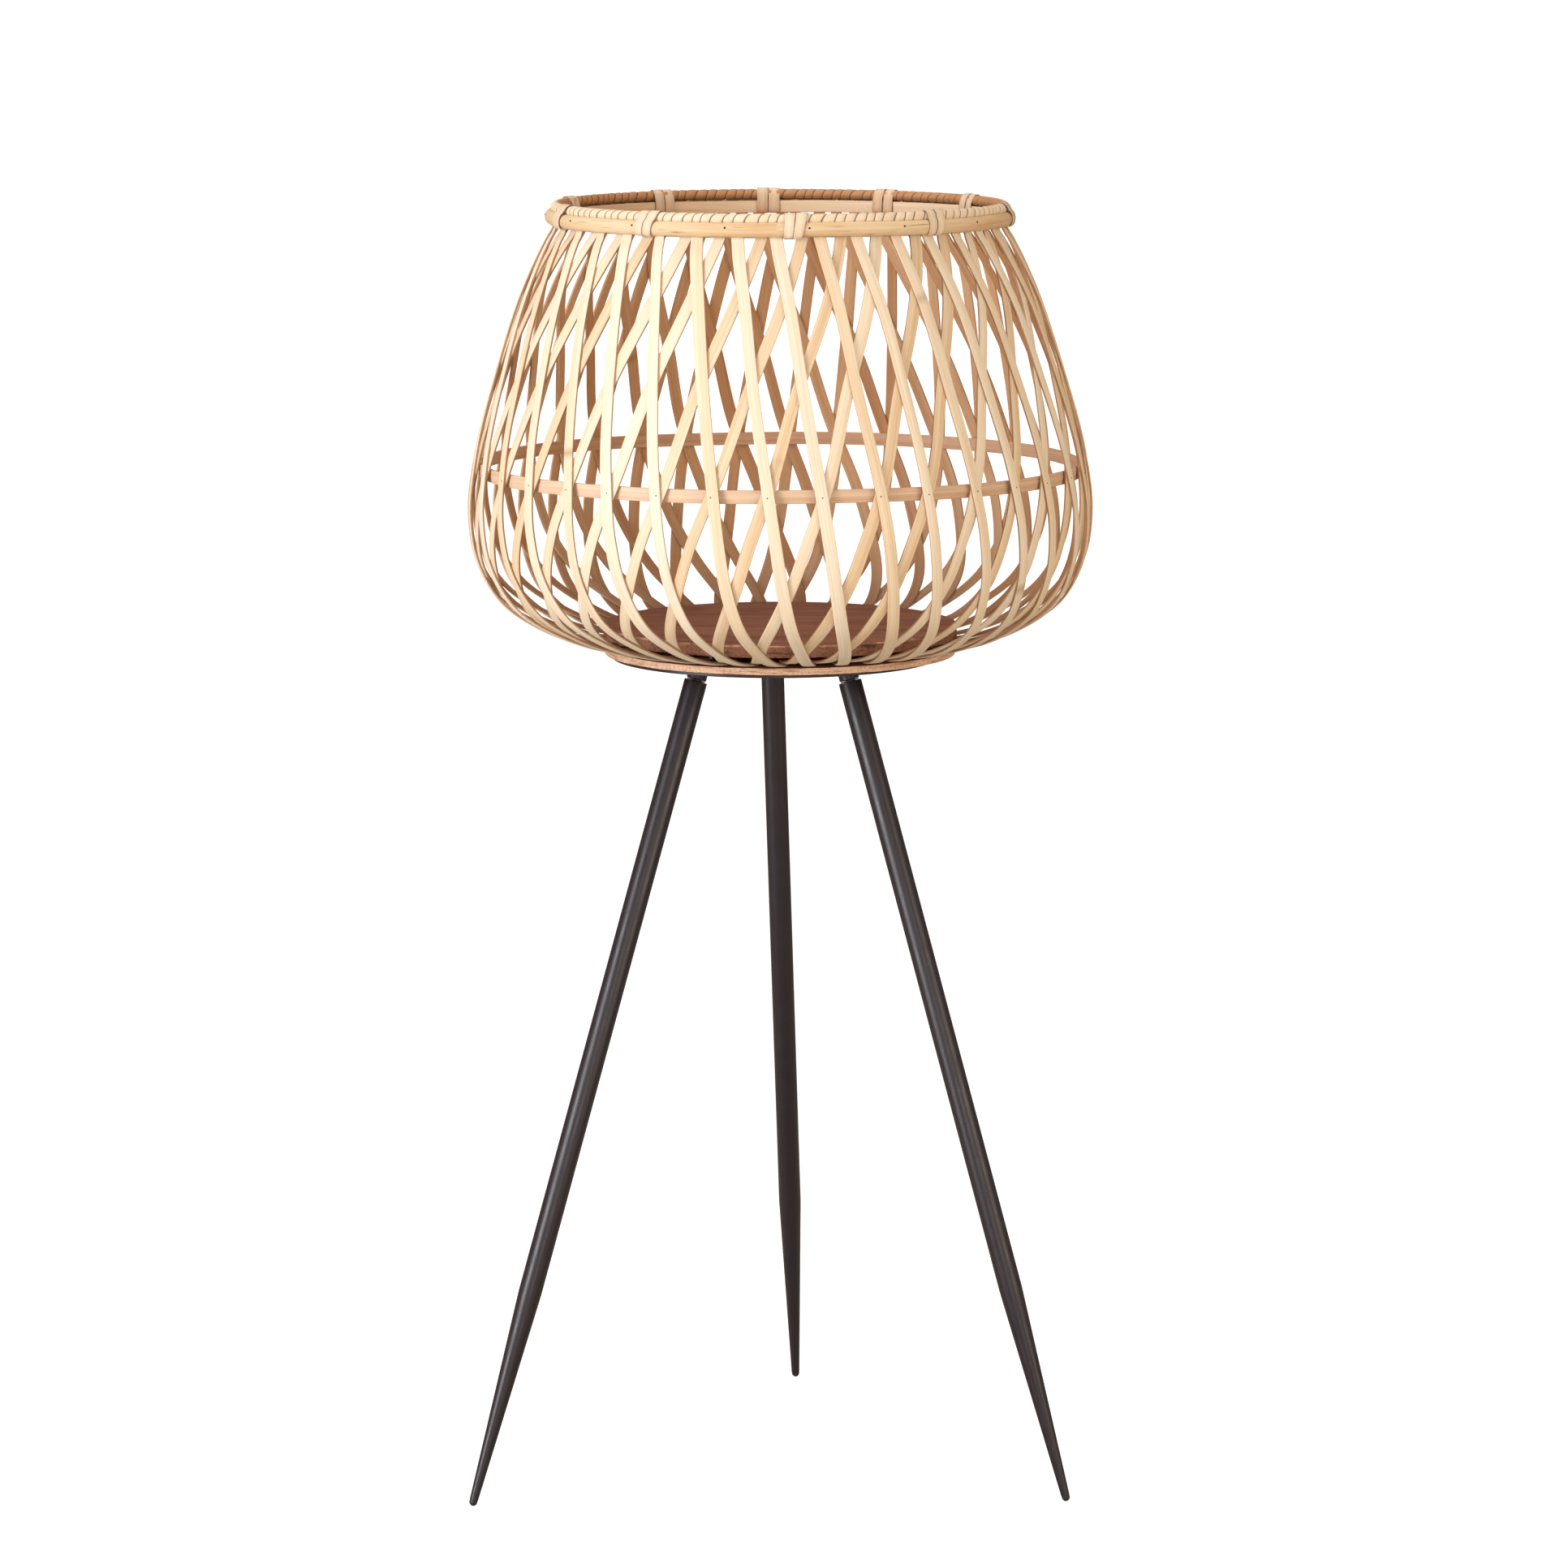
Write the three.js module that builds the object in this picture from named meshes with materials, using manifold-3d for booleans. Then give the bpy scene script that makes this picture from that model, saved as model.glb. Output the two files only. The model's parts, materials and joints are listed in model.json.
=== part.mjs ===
// Open bamboo basket on three splayed steel legs.
// Millimetres, +Z up, front towards -Y. The strips lean two ways round a rim, a hoop and a
// clamped base; the legs screw on to bosses under the base.
import * as THREE from "three";
import { mergeVertices } from "three/addons/utils/BufferGeometryUtils.js";
import Module from "manifold-3d";

const wasm = await Module();
wasm.setup();

// ---- driving dimensions -------------------------------------------------------------------

const GAP = 0.3; // clearance left between pieces that touch

// The basket wall's outer surface, from the rim down to the clamp between the two discs:
// [radius, height, lean of the outer strips, lean of the inner strips], leans in degrees.
const WALL = [
  [155.0, 879.6, -8.9, 18.4],
  [155.2, 871.9, -8.3, 17.5],
  [175.3, 832.0, -5.5, 12.8],
  [195.5, 773.0, -2.7, 5.8],
  [211.2, 711.0, -0.1, 0.5],
  [215.4, 673.0, 1.2, -3.3],
  [210.5, 643.0, 2.4, -6.0],
  [194.7, 614.6, 4.4, -9.5],
  [168.5, 596.4, 7.1, -12.2],
  [120.0, 582.2, 12.0, -15.2],
  [104.0, 581.8, 13.5, -16.2],
];
const STRIP_COUNT = 36; // in each layer
const STRIP_WIDTH = 7.7;
const STRIP_THICKNESS = 1.6;
const STRIP_PHASE = -2; // degrees from the front to the first crossing
const SECTOR_COUNT = 6;
const CLAMPED_THICKNESS = 3.9; // pile of inner strip ends squeezed under the upper disc

const RING_SIDES = 48;
const HOOP_HEIGHT = 9;
const HOOP_THICKNESS = 2.5;
const HOOP_MIDDLE = 705.6;
const HOOP_RADIUS = 207; // outer face

const COIL_RADIUS = 153.5; // centre line of the wrapped coil on top of the rim
const COIL_LEVEL = 884.3;
const COIL_CORE = 2.5; // radius of the core cane
const COIL_INNER = 2.8; // radius inside the wrap
const COIL_OUTER = 3.8; // radius outside the wrap
const COIL_SLIT = 25; // half-angle of the wrap's open seam underneath, degrees
const CORE_SIDES = 6;
const WRAP_STEPS = { outside: 7, inside: 6 };

const CANE_INNER = 156; // flat back of the half-round outer cane
const CANE_OUTER = 161;
const CANE_LEVEL = 877.3;
const CANE_HEIGHT = 10;
const CANE_BACK = 7; // height of its flat back
const CANE_FACE = 4; // height of the flat left on its round face

const BAND_OUTER = 151.3;
const BAND_THICKNESS = 2.4;
const BAND_LOW = 871.5;
const BAND_HIGH = 880;

const TIE_ANGLES = [3.4, 40.6, 80.4, 119.1, 149.8, 182.4, 212.6, 251, 290.4, 325.7];
const TIE_WIDTH = 15.2; // two turns of peel side by side
const TIE_THICKNESS = 1.1;
const TIE_CLEAR = 0.4; // between a tie and the rim
const TIE_TOP = { inner: 2.6, outer: 2.2 }; // its flat top, each way from the coil's centre line
const TIE_MITRE = 0.5; // how much further out its outside corners are

const DISC_SIDES = 60;
const UPPER_DISC = { radius: 122, low: 588.2, height: 8.6 };
const LOWER_DISC = { radius: 121, low: 576.4, height: 4.9 };
const LEG_PLATE = { radius: 113, low: 573.4, height: 2.7 };

const SCREW_COUNT = 6;
const SCREW_CIRCLE = 84;
const SCREW_PHASE = -31.5; // degrees from the front to the first screw
const SCREW_HOLE = 2.4;
const SCREW_HOLE_SIDES = 8;
const SCREW_SIDES = 10;
const SCREW_SHANK = 1.9;
const SCREW_HEAD = { radius: 4.2, flat: 2.5, height: 2.4 };
const SCREW_POINT = 3;
const SCREW_TOP = 594;
const POCKET_TOP = 594.8;
const OVERSHOOT = 1; // by which a cutter passes the face it starts from

// The leg plate and its screws stand round an axis a little left of the basket's. The legs are
// a little uneven: each has its own top point, at the tube's top end, and foot point.
const TRIPOD_CENTRE = new THREE.Vector2(-3, 0);
const LEG_TOP_LEVEL = 560.3;
const LEGS = [
  { top: new THREE.Vector2(-57.9, -29.4), foot: new THREE.Vector2(-211.6, -116.6) },
  { top: new THREE.Vector2(48, -31.6), foot: new THREE.Vector2(197.7, -104.2) },
  { top: new THREE.Vector2(-5.5, 61.4), foot: new THREE.Vector2(11.4, 243) },
];
const LEG_SIDES = 20;
const TUBE_RADIUS = 8;
const TUBE_WALL = 1.2;
const TAPER_LENGTH = 150;
const TIP_RADIUS = 2.8;
const TIP_LENGTH = 3.8; // of the part outside the tube
const TIP_STEPS = 4;
const TIP_GAP = 0.2; // between the tip's shoulder and the tube's mouth
const MOUTH_LIP = 0.15; // by which the tube's mouth is wider than the tip
const TIP_SPIGOT = { radius: 1.4, length: 10 };

const STUD_RADIUS = 3.7; // M8
const STUD_SIDES = 12;
const STUD_REACH = 15; // above the tube's top end
const STUD_DEPTH = 28; // below it
const STUD_HOLE = 4.1;
const PLUG_LENGTH = 30;
const WASHER = { radius: 6.4, thickness: 0.8, gap: 0.2 };
const BOSS_RADIUS = 6.9;
const BOSS_BLANK = 30; // the boss's length before its top is cut level with the plate
const PLATE_HOLE = { inward: 4.4, radius: 5.3 }; // where the stud passes into the plate

// ---- materials ----------------------------------------------------------------------------

function finish(color, roughness, metalness = 0) {
  return new THREE.MeshStandardMaterial({ color, roughness, metalness });
}

const OUTER_BAMBOO = finish(0xe4cda2, 0.55);
const INNER_BAMBOO = finish(0xd9bd8f, 0.6);
const PEEL = finish(0xdcb98e, 0.5);
const CANE = finish(0xdcb678, 0.45);
const PLYWOOD = finish(0x8c5f45, 0.8);
const BLACK_STEEL = finish(0x353134, 0.45, 0.6);
const BARE_STEEL = finish(0xa8a8ac, 0.35, 1);
const BLACK_PLASTIC = finish(0x2a282a, 0.6);

// ---- helpers ------------------------------------------------------------------------------

const radians = THREE.MathUtils.degToRad;

// Corner points of a regular polygon in the XY plane.
function polygon(sides, radius, centre = new THREE.Vector2()) {
  return Array.from({ length: sides }, (_, i) => {
    const angle = (2 * Math.PI * i) / sides;
    return new THREE.Vector2(radius * Math.cos(angle), radius * Math.sin(angle)).add(centre);
  });
}

// Points of an arc about a centre, from one angle to another, in degrees.
function arc(centre, radius, from, to, steps) {
  return Array.from({ length: steps + 1 }, (_, i) => {
    const angle = radians(from + ((to - from) * i) / steps);
    const offset = new THREE.Vector2(Math.cos(angle), Math.sin(angle)).multiplyScalar(radius);
    return offset.add(centre);
  });
}

// A point at a radius and an angle (degrees) round the axis, 0 at the front.
function around(radius, angle) {
  return new THREE.Vector2(radius * Math.sin(radians(angle)), -radius * Math.cos(radians(angle)));
}

// Solid of revolution about Z. The profile holds [radius, height] points, going up outside.
function turned(profile, sides) {
  const points = profile.map(([radius, height]) => new THREE.Vector2(radius, height));
  return new THREE.LatheGeometry(points, sides).rotateX(Math.PI / 2);
}

// Ring of revolution: a profile that closes on itself.
function turnedRing(profile, sides) {
  return turned([...profile, profile[0]], sides);
}

// Flat plate between two heights, with holes.
function plate(outline, low, height, holes = []) {
  const shape = new THREE.Shape(outline);
  shape.holes = holes.map((hole) => new THREE.Path(hole));
  const geometry = new THREE.ExtrudeGeometry(shape, { depth: height, bevelEnabled: false });
  return geometry.translate(0, 0, low);
}

function solid(geometry) {
  const bare = geometry.clone();
  bare.deleteAttribute("normal");
  bare.deleteAttribute("uv");
  const merged = mergeVertices(bare, 1e-4);
  const vertProperties = new Float32Array(merged.attributes.position.array);
  const triVerts = new Uint32Array(merged.index.array);
  return new wasm.Manifold(new wasm.Mesh({ numProp: 3, vertProperties, triVerts }));
}

// The first geometry with the others cut away.
function cut(geometry, ...cutters) {
  const rest = cutters.reduce((body, cutter) => body.subtract(solid(cutter)), solid(geometry));
  const mesh = rest.getMesh();
  const result = new THREE.BufferGeometry();
  result.setAttribute("position", new THREE.BufferAttribute(mesh.vertProperties, 3));
  result.setIndex(new THREE.BufferAttribute(mesh.triVerts, 1));
  result.computeVertexNormals();
  return result;
}

function piece(name, geometry, material, parent) {
  const mesh = new THREE.Mesh(geometry, material);
  mesh.name = name;
  parent.add(mesh);
  return mesh;
}

// ---- basket wall --------------------------------------------------------------------------

// Outward normal of the wall at a row, in the radius-height plane.
function wallNormal(row) {
  const above = WALL[Math.max(row - 1, 0)];
  const below = WALL[Math.min(row + 1, WALL.length - 1)];
  const run = new THREE.Vector2(below[0] - above[0], below[1] - above[1]).normalize();
  return new THREE.Vector2(-run.y, run.x);
}

// Half the angle that a strip covers at a row: wider where it crosses the row at a slant.
function halfStrip(row, leanColumn) {
  const above = WALL[Math.max(row - 1, 0)];
  const below = WALL[Math.min(row + 1, WALL.length - 1)];
  const down = Math.hypot(below[0] - above[0], below[1] - above[1]);
  const radius = WALL[row][0];
  const across = radius * radians(below[leanColumn] - above[leanColumn]);
  return (STRIP_WIDTH / 2 / radius) * Math.hypot(1, across / down);
}

// One sector of a layer: its strips, joined by a link at the rim and one in the clamp. The
// sector is a grid of cells, rows down the wall and columns round it, and only the cells on a
// strip or a link are filled.
function stripSector(sector, leanColumn, outsideDepth, insideDepth) {
  const strips = STRIP_COUNT / SECTOR_COUNT;
  const pitch = radians(360 / STRIP_COUNT);
  const columns = 3 * strips - 1; // left edge, right edge and link middle of each strip
  const rows = WALL.length;
  const positions = [];
  for (let row = 0; row < rows; row += 1) {
    const [radius, height] = WALL[row];
    const normal = wallNormal(row);
    const half = halfStrip(row, leanColumn);
    const offsets = [-half, half, pitch / 2];
    for (let column = 0; column < columns; column += 1) {
      const strip = sector * strips + Math.floor(column / 3);
      const middle = strip * pitch + radians(STRIP_PHASE + WALL[row][leanColumn]);
      const angle = middle + offsets[column % 3];
      for (const depth of [outsideDepth(row), insideDepth(row)]) {
        const r = radius - normal.x * depth;
        positions.push(r * Math.sin(angle), -r * Math.cos(angle), height - normal.y * depth);
      }
    }
  }
  const vertex = (row, column, side) => 2 * (row * columns + column) + side;
  const onStrip = (column) => column % 3 === 0;
  const filled = (row, column) => {
    if (row < 0 || row > rows - 2 || column < 0 || column > columns - 2) return false;
    return onStrip(column) || row === 0 || row === rows - 2;
  };
  const index = [];
  const quad = (a, b, c, d) => index.push(a, b, c, a, c, d);
  for (let row = 0; row < rows - 1; row += 1) {
    for (let column = 0; column < columns - 1; column += 1) {
      if (!filled(row, column)) continue;
      const corners = (side) => [
        vertex(row, column, side),
        vertex(row + 1, column, side),
        vertex(row + 1, column + 1, side),
        vertex(row, column + 1, side),
      ];
      const [outTL, outBL, outBR, outTR] = corners(0);
      const [inTL, inBL, inBR, inTR] = corners(1);
      quad(outTL, outBL, outBR, outTR);
      quad(inTL, inTR, inBR, inBL);
      if (!filled(row, column - 1)) quad(outTL, inTL, inBL, outBL);
      if (!filled(row, column + 1)) quad(outTR, outBR, inBR, inTR);
      if (!filled(row - 1, column)) quad(outTL, outTR, inTR, inTL);
      if (!filled(row + 1, column)) quad(outBL, inBL, inBR, outBR);
    }
  }
  const geometry = new THREE.BufferGeometry();
  geometry.setAttribute("position", new THREE.Float32BufferAttribute(positions, 3));
  geometry.setIndex(index);
  return mergeVertices(geometry, 1e-4);
}

function addWall(basket) {
  const layerStep = STRIP_THICKNESS + GAP;
  const lastRow = WALL.length - 1;
  const pile = (row) => (row === lastRow ? CLAMPED_THICKNESS : STRIP_THICKNESS);
  for (let sector = 0; sector < SECTOR_COUNT; sector += 1) {
    const outer = stripSector(sector, 2, () => 0, () => STRIP_THICKNESS);
    const inner = stripSector(sector, 3, () => layerStep, (row) => layerStep + pile(row));
    piece(`outer_strips_${sector + 1}`, outer, OUTER_BAMBOO, basket);
    piece(`inner_strips_${sector + 1}`, inner, INNER_BAMBOO, basket);
  }
}

// ---- hoop and rim -------------------------------------------------------------------------

function flatRing(outerRadius, thickness, low, high) {
  const innerRadius = outerRadius - thickness;
  const profile = [
    [innerRadius, low],
    [outerRadius, low],
    [outerRadius, high],
    [innerRadius, high],
  ];
  return turnedRing(profile, RING_SIDES);
}

function addHoop(basket) {
  const low = HOOP_MIDDLE - HOOP_HEIGHT / 2;
  const hoop = flatRing(HOOP_RADIUS, HOOP_THICKNESS, low, low + HOOP_HEIGHT);
  piece("mid_hoop", hoop, INNER_BAMBOO, basket);
}

function addRim(basket) {
  const shoulder = (CANE_INNER + CANE_OUTER) / 2;
  const cane = [
    [CANE_INNER, CANE_LEVEL - CANE_BACK / 2],
    [shoulder, CANE_LEVEL - CANE_HEIGHT / 2],
    [CANE_OUTER, CANE_LEVEL - CANE_FACE / 2],
    [CANE_OUTER, CANE_LEVEL + CANE_FACE / 2],
    [shoulder, CANE_LEVEL + CANE_HEIGHT / 2],
    [CANE_INNER, CANE_LEVEL + CANE_BACK / 2],
  ];
  piece("rim_outer_cane", turnedRing(cane, RING_SIDES), CANE, basket);
  const band = flatRing(BAND_OUTER, BAND_THICKNESS, BAND_LOW, BAND_HIGH);
  piece("rim_inner_band", band, CANE, basket);

  const centre = new THREE.Vector2(COIL_RADIUS, COIL_LEVEL);
  const core = polygon(CORE_SIDES, COIL_CORE, centre).map((point) => point.toArray());
  piece("rim_coil_core", turnedRing(core, RING_SIDES), CANE, basket);
  const seamStart = -90 + COIL_SLIT;
  const seamEnd = 270 - COIL_SLIT;
  const outside = arc(centre, COIL_OUTER, seamStart, seamEnd, WRAP_STEPS.outside);
  const inside = arc(centre, COIL_INNER, seamEnd, seamStart, WRAP_STEPS.inside);
  const wrap = [...outside, ...inside].map((point) => point.toArray());
  piece("rim_coil_wrap", turnedRing(wrap, RING_SIDES), PEEL, basket);
}

// A tie hugs the rim from the foot of the inner band, over the coil, to the foot of the cane.
function tieShape() {
  const inside = BAND_OUTER - BAND_THICKNESS - 2 * TIE_CLEAR;
  const outside = CANE_OUTER + TIE_CLEAR;
  const top = COIL_LEVEL + COIL_OUTER + TIE_CLEAR;
  const innerCorner = COIL_RADIUS - TIE_TOP.inner;
  const outerCorner = COIL_RADIUS + TIE_TOP.outer;
  const caneTop = CANE_LEVEL + CANE_HEIGHT / 2;
  const caneFoot = CANE_LEVEL - CANE_HEIGHT / 2;
  const path = [
    [inside, BAND_LOW],
    [inside, COIL_LEVEL],
    [innerCorner, top],
    [outerCorner, top],
    [outside, caneTop],
    [outside, caneFoot],
  ];
  const back = [
    [outside + TIE_THICKNESS, caneFoot],
    [outside + TIE_THICKNESS, caneTop + TIE_MITRE],
    [outerCorner + TIE_MITRE, top + TIE_THICKNESS],
    [innerCorner - TIE_MITRE, top + TIE_THICKNESS],
    [inside - TIE_THICKNESS, COIL_LEVEL + TIE_MITRE],
    [inside - TIE_THICKNESS, BAND_LOW],
  ];
  return new THREE.Shape([...path, ...back].map(([r, z]) => new THREE.Vector2(r, z)));
}

function addTies(basket) {
  const shape = tieShape();
  TIE_ANGLES.forEach((angle, i) => {
    const tie = new THREE.ExtrudeGeometry(shape, { depth: TIE_WIDTH, bevelEnabled: false });
    tie.translate(0, 0, -TIE_WIDTH / 2).rotateX(Math.PI / 2);
    const mesh = piece(`rim_tie_${String(i + 1).padStart(2, "0")}`, tie, PEEL, basket);
    mesh.rotation.z = radians(angle - 90);
  });
}

// ---- base ---------------------------------------------------------------------------------

function screwAngle(i) {
  return SCREW_PHASE + (360 / SCREW_COUNT) * i;
}

function addBase(stand) {
  const screwAngles = Array.from({ length: SCREW_COUNT }, (_, i) => screwAngle(i));
  const onTripod = (radius, angle) => around(radius, angle).add(TRIPOD_CENTRE);
  const screwCentres = screwAngles.map((angle) => onTripod(SCREW_CIRCLE, angle));
  const screwHoles = screwCentres.map((centre) =>
    polygon(SCREW_HOLE_SIDES, SCREW_HOLE, centre).reverse());
  const studHoles = LEGS.map(({ top, foot }) => {
    const inward = top.clone().sub(foot).setLength(PLATE_HOLE.inward);
    return polygon(STUD_SIDES, PLATE_HOLE.radius, inward.add(top));
  });

  const upper = UPPER_DISC;
  const upperBlank = plate(polygon(DISC_SIDES, upper.radius), upper.low, upper.height);
  const pocketDepth = POCKET_TOP - upper.low;
  const pockets = screwCentres.map((centre) =>
    plate(
      polygon(SCREW_HOLE_SIDES, SCREW_HOLE, centre),
      upper.low - OVERSHOOT,
      pocketDepth + OVERSHOOT));
  piece("base_upper_disc", cut(upperBlank, ...pockets), PLYWOOD, stand);

  const lower = LOWER_DISC;
  const lowerOutline = polygon(DISC_SIDES, lower.radius);
  const lowerDisc = plate(lowerOutline, lower.low, lower.height, screwHoles);
  piece("base_lower_disc", lowerDisc, PLYWOOD, stand);

  const steel = LEG_PLATE;
  const steelHoles = [...screwHoles, ...studHoles];
  const steelOutline = polygon(DISC_SIDES, steel.radius, TRIPOD_CENTRE);
  const legPlate = plate(steelOutline, steel.low, steel.height, steelHoles);
  piece("leg_plate", legPlate, BLACK_STEEL, stand);

  const headTop = LEG_PLATE.low - GAP;
  const screw = [
    [0, headTop - SCREW_HEAD.height],
    [SCREW_HEAD.flat, headTop - SCREW_HEAD.height],
    [SCREW_HEAD.radius, headTop],
    [SCREW_SHANK, headTop],
    [SCREW_SHANK, SCREW_TOP - SCREW_POINT],
    [0, SCREW_TOP],
  ];
  screwCentres.forEach((centre, i) => {
    const mesh = piece(`clamp_screw_${i + 1}`, turned(screw, SCREW_SIDES), BARE_STEEL, stand);
    mesh.position.set(centre.x, centre.y, 0);
  });
}

// ---- legs ---------------------------------------------------------------------------------

// How far a leg's foot stands out from its top, its slant from upright and its length.
function legLine({ top, foot }) {
  const reach = top.distanceTo(foot);
  const splay = Math.atan2(reach, LEG_TOP_LEVEL);
  return { reach, splay, length: Math.hypot(reach, LEG_TOP_LEVEL) };
}

// Every leg piece is turned about Z with its foot at 0, then leant in to the leg's top point.
function leanIn(geometry, line) {
  return geometry.rotateX(-line.splay).translate(0, -line.reach, 0);
}

function sleeve(innerRadius, outerRadius, low, high, sides) {
  const profile = [
    [innerRadius, low],
    [outerRadius, low],
    [outerRadius, high],
    [innerRadius, high],
  ];
  return turnedRing(profile, sides);
}

function bossGeometry(line) {
  const low = line.length + WASHER.thickness + 2 * WASHER.gap;
  const boss = leanIn(sleeve(STUD_HOLE, BOSS_RADIUS, low, low + BOSS_BLANK, LEG_SIDES), line);
  const aboveBoss = plate(polygon(4, LEG_PLATE.radius), LEG_PLATE.low - GAP, BOSS_BLANK);
  return cut(boss, aboveBoss);
}

function tubeGeometry(line) {
  const wallRadius = TUBE_RADIUS - TUBE_WALL;
  const mouth = TIP_RADIUS + MOUTH_LIP;
  const foot = TIP_LENGTH + TIP_GAP;
  const profile = [
    [mouth - TUBE_WALL, foot],
    [mouth, foot],
    [TUBE_RADIUS, TAPER_LENGTH],
    [TUBE_RADIUS, line.length],
    [wallRadius, line.length],
    [wallRadius, TAPER_LENGTH],
  ];
  return leanIn(turnedRing(profile, LEG_SIDES), line);
}

function tipGeometry(line) {
  const centre = new THREE.Vector2(0, TIP_RADIUS);
  const round = arc(centre, TIP_RADIUS, -90, 0, TIP_STEPS).map((point) => point.toArray());
  round[0][0] = 0;
  const profile = [
    ...round,
    [TIP_RADIUS, TIP_LENGTH],
    [TIP_SPIGOT.radius, TIP_LENGTH],
    [TIP_SPIGOT.radius, TIP_LENGTH + TIP_SPIGOT.length],
    [0, TIP_LENGTH + TIP_SPIGOT.length],
  ];
  return leanIn(turned(profile, STUD_SIDES), line);
}

function addLegs(stand) {
  const plugRadius = TUBE_RADIUS - TUBE_WALL - GAP;
  LEGS.forEach((ends, i) => {
    const number = i + 1;
    const line = legLine(ends);
    const leg = new THREE.Group();
    const outward = ends.foot.clone().sub(ends.top);
    leg.position.set(ends.top.x, ends.top.y, 0);
    leg.rotation.z = Math.atan2(outward.x, -outward.y);
    stand.add(leg);

    const washerLow = line.length + WASHER.gap;
    const washerHigh = washerLow + WASHER.thickness;
    const washer = sleeve(STUD_HOLE, WASHER.radius, washerLow, washerHigh, STUD_SIDES);
    const plug = sleeve(
      STUD_HOLE, plugRadius, line.length - PLUG_LENGTH, line.length - WASHER.gap, STUD_SIDES);
    const stud = turned([
      [0, line.length - STUD_DEPTH],
      [STUD_RADIUS, line.length - STUD_DEPTH],
      [STUD_RADIUS, line.length + STUD_REACH],
      [0, line.length + STUD_REACH],
    ], STUD_SIDES);
    piece(`leg_boss_${number}`, bossGeometry(line), BLACK_STEEL, leg);
    piece(`leg_washer_${number}`, leanIn(washer, line), BARE_STEEL, leg);
    piece(`leg_plug_${number}`, leanIn(plug, line), BARE_STEEL, leg);
    piece(`leg_stud_${number}`, leanIn(stud, line), BARE_STEEL, leg);
    piece(`leg_tube_${number}`, tubeGeometry(line), BLACK_STEEL, leg);
    piece(`leg_tip_${number}`, tipGeometry(line), BLACK_PLASTIC, leg);
  });
}

// ---- assembly -----------------------------------------------------------------------------

function buildStand() {
  const stand = new THREE.Group();
  addWall(stand);
  addHoop(stand);
  addRim(stand);
  addTies(stand);
  addBase(stand);
  addLegs(stand);

  // The origin is the middle of the footprint, on the floor.
  const box = new THREE.Box3().setFromObject(stand, true);
  const middle = box.getCenter(new THREE.Vector3());
  stand.position.set(-middle.x, -middle.y, -box.min.z);
  const part = new THREE.Group();
  part.add(stand);
  return part;
}

export default buildStand();
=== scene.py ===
"""Looks of an open bamboo basket on three splayed steel legs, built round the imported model.

Metres, +Z up, front towards -Y. Angles round the basket's axis are counted from the front
towards +X. The table of the wall is in millimetres and degrees, and MM brings it to metres.
"""
import json
import math
import random

import bmesh
import bpy
import numpy as np
from mathutils import Matrix, Vector, noise


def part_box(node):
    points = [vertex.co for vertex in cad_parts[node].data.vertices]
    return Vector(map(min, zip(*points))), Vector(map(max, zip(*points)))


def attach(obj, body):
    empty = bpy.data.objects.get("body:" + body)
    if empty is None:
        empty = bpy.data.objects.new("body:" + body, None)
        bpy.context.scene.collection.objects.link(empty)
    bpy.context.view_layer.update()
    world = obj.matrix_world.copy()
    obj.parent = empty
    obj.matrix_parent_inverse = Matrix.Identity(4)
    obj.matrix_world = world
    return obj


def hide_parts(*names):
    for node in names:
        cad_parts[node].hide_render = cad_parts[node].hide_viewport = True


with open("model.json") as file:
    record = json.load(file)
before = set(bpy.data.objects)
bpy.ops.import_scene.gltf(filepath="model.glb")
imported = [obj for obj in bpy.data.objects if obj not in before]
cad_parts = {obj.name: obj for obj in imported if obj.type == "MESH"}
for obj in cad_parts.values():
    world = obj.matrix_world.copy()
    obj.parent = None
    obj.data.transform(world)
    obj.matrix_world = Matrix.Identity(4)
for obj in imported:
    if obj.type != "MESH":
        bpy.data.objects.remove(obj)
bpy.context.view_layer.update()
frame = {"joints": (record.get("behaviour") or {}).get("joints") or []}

# ---- driving sizes -------------------------------------------------------------------------

MM = 0.001
SEED = 7
SHARP_PAST = 40  # degrees between two faces past which their edge is sharp


def middle_of(node):
    """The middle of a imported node's box, at floor level."""
    low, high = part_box(node)
    return Vector(((low.x + high.x) / 2, (low.y + high.y) / 2, 0))


def ring_sizes(node):
    """Outer radius, lowest and highest level of a packed ring or disc."""
    low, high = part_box(node)
    return (high.x - low.x) / 2, low.z, high.z


DISC_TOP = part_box("base_upper_disc")[1].z
TABLE_DISC_TOP = 596.8 * MM  # the upper disc's top in the wall table's heights
AXIS = middle_of("base_upper_disc")
LIFT = DISC_TOP - TABLE_DISC_TOP

# The wall's outer surface from the rim down to the clamp:
# radius, height, lean of the outer strips, lean of the inner strips (degrees).
WALL = (
    (155.0, 879.6, -8.9, 18.4),
    (155.2, 871.9, -8.3, 17.5),
    (159.8, 864.0, -7.8, 16.6),
    (175.3, 832.0, -5.5, 12.8),
    (195.5, 773.0, -2.7, 5.8),
    (210.8, 715.0, -0.3, 0.9),
    (215.4, 673.0, 1.2, -3.3),
    (211.6, 645.7, 2.3, -5.8),
    (194.7, 614.6, 4.4, -9.5),
    (169.3, 596.9, 7.0, -12.2),
    (142.0, 586.4, 9.6, -13.8),
    (120.0, 582.4, 12.0, -15.2),
    (106.0, 582.0, 13.5, -16.0),
)
OUTER_LEAN, INNER_LEAN = 2, 3  # the table's columns of leans
STRIP_COUNT = 36
SECTORS = 6
STRIP_PHASE = -2.0  # degrees from the front to the first crossing
NAIL_JITTER = 0.6  # degrees by which a crossing may stray
STRIP_WIDTH = 7.7 * MM
STRIP_THICKNESS = 1.7 * MM
WIDTH_RANGE = (0.98, 1.12)  # each strip draws its own share of the nominal size
THICKNESS_RANGE = (0.92, 1.04)
LEAN_RANGE = (0.97, 1.03)
STRIP_CORNER = 0.45 * MM
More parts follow.
